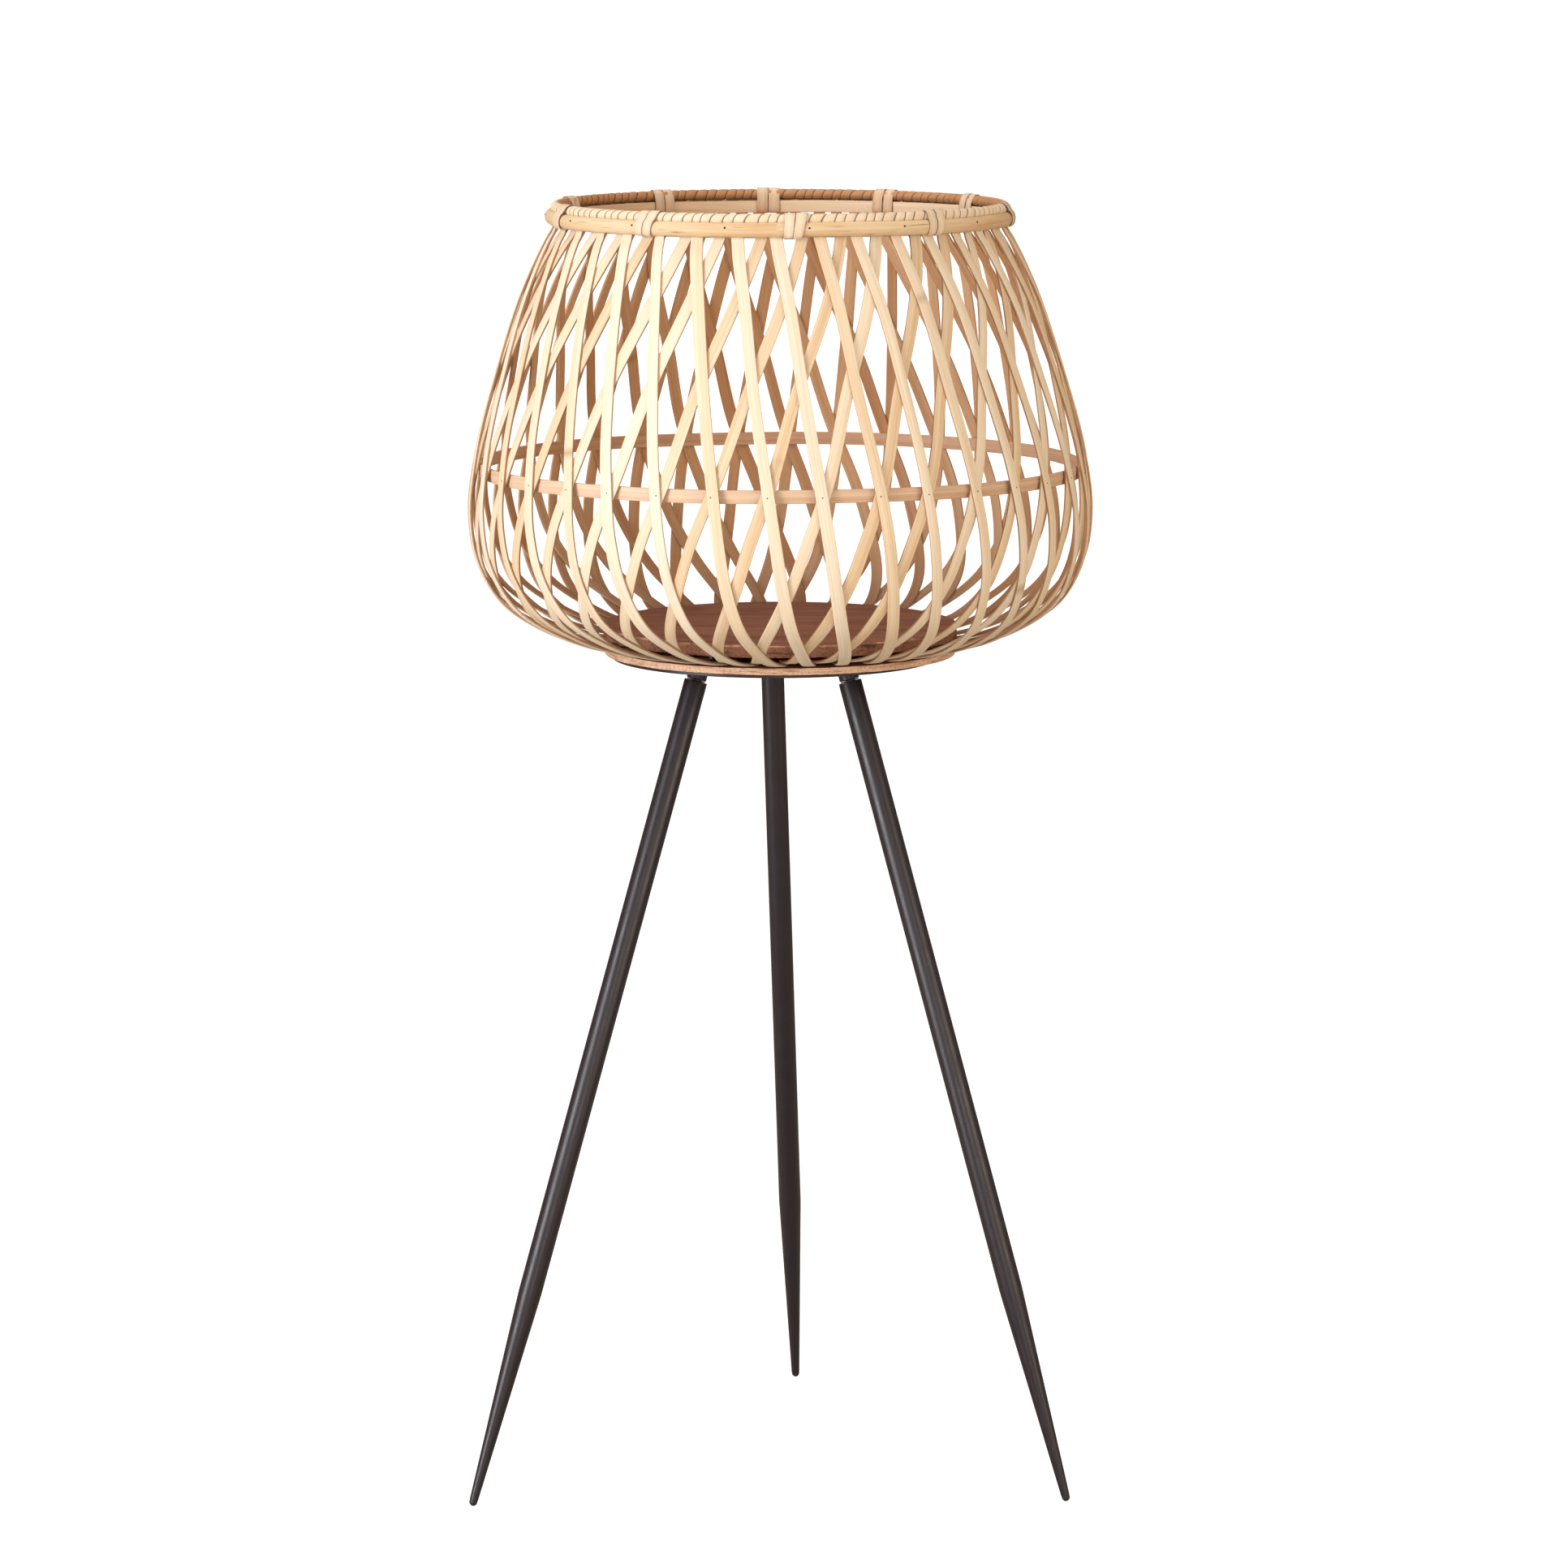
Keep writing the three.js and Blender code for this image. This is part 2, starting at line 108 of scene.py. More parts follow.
STRIP_CROWN = 0.12 * MM
STRIP_DRIFT = 0.35  # degrees that a strip strays from its line
BELLY_SHARE = 0.52  # of the way down a strip, where the painted shade on its inner face starts
STRIP_STEP = 5.0  # spacing of a strip's stations, in the wall table's millimetres
OUTER_DEPTH = 0.85 * MM  # from the wall's surface in to the middle of a strip
INNER_DEPTH = 2.75 * MM
KNOT_SIZE = 1.2 * MM
HOOP_NAIL_RADIUS = 0.5 * MM

BAND_THICKNESS = 2.4 * MM
CANE_BACK_RADIUS = 155.9 * MM  # from the basket's axis to the cane's flat back
COIL_TUBE = 3.8 * MM  # radius of the core and the peel round it
COIL_TURNS = 134
PEEL_WIDTH = 7.5 * MM
SEAM_SHARE = 0.055  # of a turn's width, how far a dark seam reaches
PEEL_THICKNESS = 0.55 * MM
TIE_SPACING = 8.2 * MM  # between the two turns of a tie
TIE_WIDTH_RANGE = (7.3 * MM, 7.8 * MM)
TIE_RISE = 0.2 * MM  # of a tie's second turn over its first
TIE_ANGLES = (3.4, 40.6, 80.4, 119.1, 149.8, 182.4, 212.6, 251.0, 290.4, 325.7)
CANE_NAILS = 15
CANE_NAIL_RADIUS = 0.7 * MM
CANE_NAIL_START = 8  # degrees from the front to the first nail
CANE_NAIL_JITTER = 3  # degrees by which a nail may stray

SCREW_COUNT = 6
DISC_SEGMENTS = 420

TUBE_RADIUS = 8 * MM
TUBE_WALL = 1.2 * MM
TAPER_LENGTH = 150 * MM  # from the foot's end up to the shoulder
TIP_RADIUS = 2.8 * MM
TIP_LENGTH = 4 * MM
PLUG_LENGTH = 30 * MM
WASHER_RADIUS = 6.4 * MM
STUD_RADIUS = 3.85 * MM
STUD_BELOW, STUD_ABOVE = 28 * MM, 14.9 * MM  # its length either side of the tube's end
STUD_HOLE = 4.1 * MM  # radius of what the stud passes through
BOSS_RADIUS = 6.9 * MM
BOSS_GAP = 1.2 * MM  # the reveal between the tube's end and the boss
CLEARANCE = 0.2 * MM  # between parts of a leg that meet end to end
THREAD_PITCH = 1.25 * MM
THREAD_DEPTH = 0.62 * MM


# ---- geometry helpers ----------------------------------------------------------------------

def polar(radius, angle, height):
    """Points at radii, angles in radians round the basket's axis, and heights."""
    radius, angle, height = np.broadcast_arrays(radius, angle, height)
    x = AXIS.x + radius * np.sin(angle)
    y = AXIS.y - radius * np.cos(angle)
    return np.stack([x, y, height], axis=-1)


def direction(out, angle, up):
    """Directions at angles round the basket's axis, from their outward and upward parts."""
    return polar(out, angle, up) - np.array([AXIS.x, AXIS.y, 0])


def unit(vectors):
    """Vectors brought to length one."""
    return vectors / np.linalg.norm(vectors, axis=-1, keepdims=True)


def smooth_rows(knots, step):
    """Stations on a smooth curve through the knots, about a step apart in the first two columns."""
    points = np.array(knots, float)
    chords = np.linalg.norm(np.diff(points[:, :2], axis=0), axis=1)
    slopes = np.diff(points, axis=0) / chords[:, None]
    tangents = np.empty_like(points)
    tangents[0], tangents[-1] = slopes[0], slopes[-1]
    before, after = chords[:-1, None], chords[1:, None]
    tangents[1:-1] = (slopes[:-1] * after + slopes[1:] * before) / (before + after)
    rows = []
    for i, chord in enumerate(chords):
        count = max(2, round(chord / step))
        for t in np.arange(count) / count:
            rows.append(
                (2 * t**3 - 3 * t**2 + 1) * points[i]
                + (t**3 - 2 * t**2 + t) * chord * tangents[i]
                + (3 * t**2 - 2 * t**3) * points[i + 1]
                + (t**3 - t**2) * chord * tangents[i + 1]
            )
    rows.append(points[-1])
    return np.array(rows)


def bar_outline(width, thickness, radius, crown=0.0, steps=3):
    """A flat bar's section, from its outside face round: pairs of across and outward."""
    points = []
    corners = ((1, 1), (-1, 1), (-1, -1), (1, -1))
    for index, (sx, sy) in enumerate(corners):
        for k in range(steps + 1):
            angle = math.radians(90 * index + 90 * k / steps)
            x = sx * (width / 2 - radius) + radius * math.cos(angle)
            y = sy * (thickness / 2 - radius) + radius * math.sin(angle)
            points.append((x, y))
        if index == 0:
            points.append((0.0, thickness / 2 + crown))
        if index == 2:
            points.append((0.0, -thickness / 2))
    return np.array(points)


def tapered(outline, taper):
    """A bar's outline at each of its stations, the width scaled by the taper."""
    return outline[None] * np.stack([taper, np.ones_like(taper)], axis=-1)[:, None]


def mesh_object(name, vertices, faces, values=None, angle=SHARP_PAST):
    """An object from points and faces, with smooth shading, sharp only past an angle."""
    mesh = bpy.data.meshes.new(name)
    mesh.from_pydata([tuple(v) for v in vertices], [], faces)
    for key, data in (values or {}).items():
        data = np.asarray(data, np.float32)
        kind, field = ("FLOAT", "value") if data.ndim == 1 else ("FLOAT_VECTOR", "vector")
        layer = mesh.attributes.new(key, kind, "POINT")
        layer.data.foreach_set(field, data.ravel())
    work = bmesh.new()
    work.from_mesh(mesh)
    bmesh.ops.recalc_face_normals(work, faces=work.faces)
    work.to_mesh(mesh)
    work.free()
    mesh.shade_smooth()
    mesh.set_sharp_from_angle(angle=math.radians(angle))
    obj = bpy.data.objects.new(name, mesh)
    bpy.context.scene.collection.objects.link(obj)
    return obj


def skin(count, around, closed=False):
    """Quads over a count of rings with so many points around, joined end to end or capped."""
    faces = []
    for i in range(count if closed else count - 1):
        a, b = i * around, ((i + 1) % count) * around
        for j in range(around):
            k = (j + 1) % around
            faces.append((a + j, a + k, b + k, b + j))
    if not closed:
        faces.append(tuple(range(around)))
        last = (count - 1) * around
        faces.append(tuple(last + j for j in reversed(range(around))))
    return faces


def sweep(name, centres, normals, outline, closed=False, seed=0.0):
    """A bar swept along points, its outline's outward side along the normals."""
    if closed:
        tangents = np.roll(centres, -1, axis=0) - np.roll(centres, 1, axis=0)
    else:
        tangents = np.gradient(centres, axis=0)
    tangents = unit(tangents)
    sides = unit(np.cross(normals, tangents))
    outward = unit(np.cross(tangents, sides))
    outline = np.broadcast_to(outline, (len(centres), *outline.shape[-2:]))
    points = (
        centres[:, None]
        + sides[:, None] * outline[..., :1]
        + outward[:, None] * outline[..., 1:]
    )
    count, around = points.shape[:2]
    steps = np.linalg.norm(np.diff(centres, axis=0), axis=1)
    along = np.concatenate([[0], np.cumsum(steps)])
    grain = np.zeros((count, around, 3))
    grain[..., 0] = along[:, None]
    grain[..., 1] = outline[..., 0]
    grain[..., 2] = seed
    layers = {"grain": grain.reshape(-1, 3)}
    faces = skin(count, around, closed)
    return mesh_object(name, points.reshape(-1, 3), faces, layers), along, outline


def set_value(obj, name, data):
    """Stores one number per point for the piece's material."""
    layer = obj.data.attributes.new(name, "FLOAT", "POINT")
    layer.data.foreach_set("value", np.asarray(data, np.float32).ravel())


def lathe(name, profile, segments, place, angle=SHARP_PAST, roughen=None):
    """A turned solid about Z, then placed. A profile open at the axis closes on itself."""
    on_axis = [radius == 0 for radius, _ in profile]
    closed = not (on_axis[0] and on_axis[-1])
    vertices, rings, faces = [], [], []
    for (radius, height), pole in zip(profile, on_axis):
        ring = []
        for k in range(1 if pole else segments):
            turn = 2 * math.pi * k / segments
            r = radius + (roughen(turn, height) if roughen and not pole else 0)
            ring.append(len(vertices))
            vertices.append((r * math.cos(turn), r * math.sin(turn), height))
        rings.append(ring)
    pairs = list(zip(rings, rings[1:] + ([rings[0]] if closed else [])))
    for low, high in pairs:
        for k in range(segments):
            n = (k + 1) % segments
            if len(low) == 1:
                faces.append((low[0], high[n], high[k]))
            elif len(high) == 1:
                faces.append((low[k], low[n], high[0]))
            else:
                faces.append((low[k], low[n], high[n], high[k]))
    placed = [place @ Vector(v) for v in vertices]
    return mesh_object(name, placed, faces, angle=angle)


def ring_profile(inner, outer, low, high, bevel):
    """Profile of a sleeve with eased edges, closed on itself."""
    return [
        (inner + bevel, low),
        (outer - bevel, low),
        (outer, low + bevel),
        (outer, high - bevel),
        (outer - bevel, high),
        (inner + bevel, high),
        (inner, high - bevel),
        (inner, low + bevel),
    ]


def finish(obj, material, body, slot, *nodes):
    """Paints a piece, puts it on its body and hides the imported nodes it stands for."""
    obj.data.materials.append(material)
    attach(obj, body)
    if nodes:
        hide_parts(*nodes)


# ---- materials -----------------------------------------------------------------------------

def srgb(code):
    """Linear colour from a hex code."""
    channels = [int(code[i : i + 2], 16) / 255 for i in (1, 3, 5)]
    linear = [c / 12.92 if c <= 0.04045 else ((c + 0.055) / 1.055) ** 2.4 for c in channels]
    return (*linear, 1.0)


class Shader:
    """Small helper that wires a Principled material.

    The grain attribute holds metres along and across a piece and a number of its own, so a
    stretch of it is waves per metre along and across the fibres, and a step between pieces.
    """

    def __init__(self, name, roughness=0.5, metallic=0.0, specular=0.5):
        self.material = bpy.data.materials.new(name)
        self.material.use_nodes = True
        self.tree = self.material.node_tree
        self.tree.nodes.clear()
        self.surface = self.tree.nodes.new("ShaderNodeBsdfPrincipled")
        output = self.tree.nodes.new("ShaderNodeOutputMaterial")
        self.tree.links.new(self.surface.outputs[0], output.inputs[0])
        self.surface.inputs["Roughness"].default_value = roughness
        self.surface.inputs["Metallic"].default_value = metallic
        self.surface.inputs["Specular IOR Level"].default_value = specular

    def wire(self, value, socket):
        """Links another node's output to a socket, or writes a constant on it."""
        if isinstance(value, bpy.types.NodeSocket):
            self.tree.links.new(value, socket)
        else:
            socket.default_value = value

    def set(self, name, value):
        """Gives the surface one of its inputs."""
        self.wire(value, self.surface.inputs[name])

    def attribute(self, name, output="Fac"):
        """What a mesh stores for each point."""
        node = self.tree.nodes.new("ShaderNodeAttribute")
        node.attribute_name = name
        return node.outputs[output]

    def place(self):
        """Where a point lies on its object, in metres."""
        return self.tree.nodes.new("ShaderNodeTexCoord").outputs["Object"]

    def stretch(self, vector, factors, shift=(0, 0, 0)):
        """A place scaled by its own factor along each axis."""
        node = self.tree.nodes.new("ShaderNodeVectorMath")
        node.operation = "MULTIPLY_ADD"
        self.wire(vector, node.inputs[0])
        node.inputs[1].default_value = factors
        node.inputs[2].default_value = shift
        return node.outputs[0]

    def noise(self, vector, scale=1.0, detail=3.0, distortion=0.0):
        """Soft noise, mostly between 0.3 and 0.7."""
        node = self.tree.nodes.new("ShaderNodeTexNoise")
        self.wire(vector, node.inputs["Vector"])
        node.inputs["Scale"].default_value = scale
        node.inputs["Detail"].default_value = detail
        node.inputs["Roughness"].default_value = 0.55
        node.inputs["Distortion"].default_value = distortion
        return node.outputs["Fac"]

    def ramp(self, factor, *stops):
        """A colour looked up between stops of a position and a hex code."""
        node = self.tree.nodes.new("ShaderNodeValToRGB")
        self.wire(factor, node.inputs[0])
        elements = node.color_ramp.elements
        while len(elements) < len(stops):
            elements.new(0.5)
        for element, (position, colour) in zip(elements, stops):
            element.position = position
            element.color = srgb(colour)
        return node.outputs[0]

    def mix(self, factor, first, second, blend="MIX"):
        """The first colour, and as much of the second as the factor says."""
        node = self.tree.nodes.new("ShaderNodeMix")
        node.data_type = "RGBA"
        node.blend_type = blend
        self.wire(factor, node.inputs[0])
        self.wire(srgb(first) if isinstance(first, str) else first, node.inputs[6])
        self.wire(srgb(second) if isinstance(second, str) else second, node.inputs[7])
        return node.outputs[2]

    def math(self, operation, first, second=0.0):
        """A sum, product or the like of two numbers."""
        node = self.tree.nodes.new("ShaderNodeMath")
        node.operation = operation
        self.wire(first, node.inputs[0])
        self.wire(second, node.inputs[1])
        return node.outputs[0]

    def blend(self, first, second, share):
        """A share of the second number and the rest of the first."""
        rest = self.math("MULTIPLY", first, 1 - share)
        return self.math("ADD", rest, self.math("MULTIPLY", second, share))

    def spread(self, value, low, high, to_low=0.0, to_high=1.0):
        """A number moved from one range to another and held inside it."""
        node = self.tree.nodes.new("ShaderNodeMapRange")
        self.wire(value, node.inputs["Value"])
        node.inputs["From Min"].default_value = low
        node.inputs["From Max"].default_value = high
        node.inputs["To Min"].default_value = to_low
        node.inputs["To Max"].default_value = to_high
        return node.outputs[0]

    def axis(self, vector, index):
        """One component of a vector."""
        node = self.tree.nodes.new("ShaderNodeSeparateXYZ")
        self.wire(vector, node.inputs[0])
        return node.outputs[index]

    def bump(self, height, distance, strength=1.0):
        """Gives the surface relief, a distance in metres deep."""
        node = self.tree.nodes.new("ShaderNodeBump")
        node.inputs["Strength"].default_value = strength
        node.inputs["Distance"].default_value = distance
        self.wire(height, node.inputs["Height"])
        self.tree.links.new(node.outputs[0], self.surface.inputs["Normal"])


def bamboo_material(name, skin_colours, pith_and_shade_colours):
    """Split bamboo: smooth pale skin outside, browner pith inside (partly painted shade), fibres
    along the strip.
    """
    shader = Shader(name, specular=0.35)
    grain = shader.attribute("grain", "Vector")
    tone = shader.attribute("tone")
    pith_and_shade = shader.attribute("pith_and_shade")
    fibres = shader.noise(shader.stretch(grain, (14, 1600, 31)), detail=3)
    streaks = shader.noise(shader.stretch(grain, (5, 260, 17)), detail=4)
    patches = shader.noise(shader.stretch(grain, (11, 60, 23)), detail=3)
    light, middle, dark = skin_colours
    shade = shader.blend(streaks, tone, 0.34)
    outside = shader.ramp(shade, (0.3, light), (0.5, middle), (0.72, dark))
    pale, middle, painted_shade = pith_and_shade_colours
    inside = shader.ramp(shade, (0.3, pale), (0.7, middle))
    # Painted shade: a deeper brown on the inner face below the belly and on the cut sides.
    inside = shader.mix(shader.attribute("painted_shade"), inside, painted_shade)
    colour = shader.mix(pith_and_shade, outside, inside)
    fine = shader.spread(fibres, 0.35, 0.65, 0.0, 0.22)
    colour = shader.mix(fine, colour, "#a9824f", "MULTIPLY")
    stain = shader.spread(patches, 0.62, 0.78, 0.0, 0.35)
    colour = shader.mix(stain, colour, "#c79a62", "MULTIPLY")
    knot = shader.attribute("knot")
    colour = shader.mix(shader.math("MULTIPLY", knot, 0.55), colour, "#8f6a3e")
    shader.set("Base Color", colour)
    shader.set("Roughness", shader.spread(streaks, 0.3, 0.7, 0.42, 0.62))
    height = shader.math("ADD", fibres, shader.math("MULTIPLY", knot, 1.5))
    shader.bump(height, 0.00012, 0.6)
    return shader.material


def peel_material():
    """Rattan peel: pinkish beige bands with fine fibres and dark seams between turns."""
    shader = Shader("rattan_peel", specular=0.35)
    grain = shader.attribute("grain", "Vector")
    tone = shader.attribute("tone")
    fibres = shader.noise(shader.stretch(grain, (35, 1500, 13)), detail=3)
    patches = shader.noise(shader.stretch(grain, (60, 90, 29)), detail=3)
    shade = shader.blend(patches, tone, 0.45)
    colour = shader.ramp(shade, (0.25, "#f0dec6"), (0.5, "#ebd5b9"), (0.78, "#dfc09b"))
    fine = shader.spread(fibres, 0.35, 0.7, 0.0, 0.25)
    colour = shader.mix(fine, colour, "#b98a5e", "MULTIPLY")
    # Painted shade: browner on the coil's inner side and on the inner parts of the ties.
    colour = shader.mix(shader.attribute("shade"), colour, "#ad7038")
    # Dark seams between turns; on the coil they also carry painted shade under its inner side.
    colour = shader.mix(shader.attribute("seam_and_shade"), colour, "#2e190b")
    shader.set("Base Color", colour)
    shader.set("Roughness", shader.spread(fibres, 0.3, 0.7, 0.45, 0.65))
    shader.bump(fibres, 0.00012, 0.7)
    return shader.material


def cane_material():
    """Half-round cane: golden, streaked along its length, with a few brown marks."""
    shader = Shader("rim_cane", specular=0.4)
    grain = shader.attribute("grain", "Vector")
    streaks = shader.noise(shader.stretch(grain, (9, 420, 1)), detail=5)
    lengths = shader.noise(shader.stretch(grain, (3.1, 12, 1), (5, 0, 0)), detail=2)
    patches = shader.noise(shader.stretch(grain, (16, 90, 1), (3, 0, 0)), detail=3)
    marks = shader.noise(shader.stretch(grain, (38, 700, 1), (9, 0, 0)), detail=2)
    shade = shader.blend(streaks, lengths, 0.6)
    colour = shader.ramp(shade, (0.32, "#e4d0b0"), (0.5, "#d8bb93"), (0.68, "#c0966a"))
    stain = shader.spread(patches, 0.5, 0.75, 0.0, 0.4)
    colour = shader.mix(stain, colour, "#dcb68a", "MULTIPLY")
    colour = shader.mix(shader.spread(marks, 0.62, 0.74, 0.0, 0.7), colour, "#8a5a32")
    shader.set("Base Color", colour)
    shader.set("Roughness", shader.spread(streaks, 0.3, 0.7, 0.38, 0.55))
    shader.bump(streaks, 0.0002, 0.5)
    return shader.material


def plywood_material(name, top, edge_light, edge_dark, chip_level=None):
    """Stained plywood: open grain on the faces, fibrous plies on the sawn edge."""
    shader = Shader(name, specular=0.25)
    place = shader.place()
    rings = shader.noise(shader.stretch(place, (9, 38, 4)), detail=6, distortion=1.2)
    pores = shader.noise(shader.stretch(place, (60, 1100, 60)), detail=3)
    light, middle, dark = top
    face = shader.ramp(rings, (0.25, light), (0.5, middle), (0.75, dark))
    face = shader.mix(shader.spread(pores, 0.52, 0.7, 0.0, 0.3), face, "#5a3a2a")
    plies = shader.noise(shader.stretch(place, (40, 40, 480)), detail=4)
    fibres = shader.noise(shader.stretch(place, (650, 650, 900)), detail=4)
    edge = shader.ramp(plies, (0.3, edge_dark), (0.5, edge_light))
    edge = shader.mix(shader.spread(fibres, 0.5, 0.62, 0.0, 0.6), edge, edge_dark)
    if chip_level is not None:
        level = shader.axis(place, 2)
        near_top = shader.spread(level, chip_level - 1.8 * MM, chip_level - 0.9 * MM)
        chips = shader.spread(shader.noise(place, scale=170, detail=6), 0.42, 0.62)
        edge = shader.mix(shader.math("MULTIPLY", near_top, chips), edge, "#d3a386")
    geometry = shader.tree.nodes.new("ShaderNodeNewGeometry")
    upright = shader.math("ABSOLUTE", shader.axis(geometry.outputs["Normal"], 2))
    is_face = shader.spread(upright, 0.55, 0.85)
    shader.set("Base Color", shader.mix(is_face, edge, face))
    shader.set("Roughness", shader.spread(rings, 0.3, 0.7, 0.6, 0.8))
    shader.bump(shader.math("ADD", pores, fibres), 0.0004, 0.6)
    return shader.material


def coat_material(name, colour, roughness):
    """Satin powder coat: faint mottling and a fine orange-peel surface."""
    shader = Shader(name, specular=0.56)
    place = shader.place()
    mottle = shader.noise(place, scale=60, detail=3)
    peel = shader.noise(place, scale=900, detail=2)
    lighter = tuple(min(1, c * 1.35) for c in srgb(colour)[:3])
    shader.set("Base Color", shader.mix(mottle, colour, (*lighter, 1)))
    shader.set("Roughness", shader.spread(mottle, 0.3, 0.7, roughness - 0.05, roughness + 0.07))
    shader.bump(peel, 0.00008, 0.5)
    return shader.material


def zinc_material():
    """Zinc-plated steel with fine turning marks."""
    shader = Shader("bare_steel", metallic=1.0)
    place = shader.place()
    cloud = shader.noise(place, scale=240, detail=3)
    colour = shader.ramp(cloud, (0.3, "#b9babd"), (0.7, "#8f9095"))
    shader.set("Base Color", colour)
    shader.set("Roughness", shader.spread(cloud, 0.3, 0.7, 0.28, 0.42))
    shader.bump(shader.noise(shader.stretch(place, (300, 300, 4000))), 0.00003, 0.4)
    return shader.material


def nail_material():
    """Dull brown heads of small nails."""
    shader = Shader("nail_steel", metallic=0.7, roughness=0.5)
    cloud = shader.noise(shader.place(), scale=900, detail=2)
    shader.set("Base Color", shader.ramp(cloud, (0.3, "#4a3529"), (0.7, "#2a1d17")))
    return shader.material


def floor_material():
    """Pale matt floor, lifted to near white where the camera sees it."""
    shader = Shader("studio_floor", roughness=0.9, specular=0.1)
    cloud = shader.noise(shader.place(), scale=3, detail=2)
    shader.set("Base Color", shader.ramp(cloud, (0.3, "#c0b6aa"), (0.7, "#bcb2a6")))
    seen = shader.tree.nodes.new("ShaderNodeLightPath").outputs["Is Camera Ray"]
    shader.surface.inputs["Emission Color"].default_value = (0.95, 0.97, 1, 1)
    shader.set("Emission Strength", shader.math("MULTIPLY", seen, 0.85))
    return shader.material


OUTER_BAMBOO = bamboo_material(
    "outer_bamboo", ("#ede0cb", "#ebdac0", "#e2c8a4"), ("#e4b88b", "#c49064", "#784623"))
INNER_BAMBOO = bamboo_material(
    "inner_bamboo", ("#ecddc6", "#e8d4b7", "#ddbf99"), ("#e1b486", "#c08c60", "#754421"))
# The hoop's bamboo is painted darker and browner than the strips', as painted shade from the strips
# in front of it.
SHADED_HOOP_BAMBOO = bamboo_material(
    "hoop_bamboo_painted_shade", ("#e6d1b8", "#dbbfa2", "#c49f7c"), ("#e0a57a", "#bd8158", "#8e5638"))
PEEL = peel_material()
CANE = cane_material()
UPPER_PLY = plywood_material(
    "plywood_upper", ("#906048", "#814f38", "#6c3f2b"), "#9c6d53", "#583424", DISC_TOP)
LOWER_PLY = plywood_material(
    "plywood_lower", ("#96684d", "#80543e", "#694330"), "#dab89d", "#a47355")
BLACK_COAT = coat_material("black_steel", "#170b15", 0.38)
BLACK_PLASTIC = coat_material("black_plastic", "#181617", 0.5)
ZINC = zinc_material()
NAIL = nail_material()


# ---- strips --------------------------------------------------------------------------------

def wall_normals(radius, height):
    """Outward normals of the wall in the radius-height plane."""
    run = unit(np.stack([np.gradient(radius), np.gradient(height)], axis=-1))
    return -run[:, 1], run[:, 0]


rng = random.Random(SEED)
nail_jitter = [rng.uniform(-NAIL_JITTER, NAIL_JITTER) for _ in range(STRIP_COUNT)]


def crossing_angle(index):
    """Degrees at which an outer and an inner strip cross on the hoop."""
    return STRIP_PHASE + index * 360 / STRIP_COUNT + nail_jitter[index]


def strip(name, index, lean_column, depth, material, slot, node):
    """One bamboo strip down the wall, with its own width, drift and, now and then, a knot."""
    rows = smooth_rows(WALL, STRIP_STEP)
    radius = rows[:, 0] * MM
    height = rows[:, 1] * MM + LIFT
    share = np.linspace(0, 1, len(rows))
    drift = STRIP_DRIFT * np.sin(2 * math.pi * (share * rng.uniform(0.7, 1.6) + rng.random()))
    drift *= np.sin(math.pi * share)
    lean = rows[:, lean_column] * rng.uniform(*LEAN_RANGE)
    angle = np.radians(crossing_angle(index) + lean + drift)
    out, up = wall_normals(radius, height)
    centres = polar(radius - out * depth, angle, height - up * depth)
    normals = direction(out, angle, up)
    width = STRIP_WIDTH * rng.uniform(*WIDTH_RANGE)
    thickness = STRIP_THICKNESS * rng.uniform(*THICKNESS_RANGE)
    outline = bar_outline(width, thickness, STRIP_CORNER, STRIP_CROWN)
    taper = 1 + 0.05 * np.sin(2 * math.pi * (share * 1.3 + rng.random()))
    seed = rng.uniform(0, 3)
    obj, along, outlines = sweep(name, centres, normals, tapered(outline, taper), seed=seed)
    facing = outlines[..., 1] / (thickness / 2)
    # The inner face and the cut sides take the pith colour: partly the bamboo's own, partly painted
    # shade.
    set_value(obj, "pith_and_shade", np.clip(1.35 - facing * 1.45, 0, 1) * rng.uniform(0.85, 1))
    # Painted shade: the inner face is darker below the belly, and so are the cut sides.
    painted_shade_below_belly = 0.9 * np.clip((share - BELLY_SHARE) / 0.4, 0, 1)
    painted_shade_on_sides = 0.65 * (np.abs(facing) < 0.6)
    set_value(obj, "painted_shade", np.maximum(painted_shade_below_belly[:, None], painted_shade_on_sides))
    set_value(obj, "tone", np.full(facing.shape, rng.random()))
    knot_at = rng.uniform(0.05, 0.95) * along[-1]
    knot = np.exp(-(((along - knot_at) / KNOT_SIZE) ** 2)) * rng.choice((0, 0, 1))
    set_value(obj, "knot", np.broadcast_to(knot[:, None], facing.shape))
    finish(obj, material, "basket", slot, node)


def build_strips():
    """Both layers of strips; each packed sector stands for six strips of one layer."""
    per_sector = STRIP_COUNT // SECTORS
    for index in range(STRIP_COUNT):
        sector = index // per_sector + 1
        label = f"{index + 1:02d}"
        strip(f"outer_strip_{label}", index, OUTER_LEAN, OUTER_DEPTH, OUTER_BAMBOO,
              "outer_bamboo", f"outer_strips_{sector}")
        strip(f"inner_strip_{label}", index, INNER_LEAN, INNER_DEPTH, INNER_BAMBOO,
              "inner_bamboo", f"inner_strips_{sector}")


def nail_heads(name, angles, radius, level, tilt, size):
    """Small domed nail heads as one piece, at angles round the axis and tilted up a little."""
    profile = [(0, -size), (size, -size), (size, 0), (size * 0.7, size * 0.35), (0, size * 0.5)]
    parts = []
    for angle in angles:
        outward = Vector((math.sin(angle), -math.cos(angle), tilt))
        turn = outward.to_track_quat("Z", "Y").to_matrix().to_4x4()
        place = Matrix.Translation(polar(radius, angle, level)) @ turn
        parts.append(lathe(f"{name}_part", profile, 10, place))
    with bpy.context.temp_override(active_object=parts[0], selected_editable_objects=parts):
        bpy.ops.object.join()
    parts[0].name = name
    finish(parts[0], NAIL, "basket", "bare_steel")


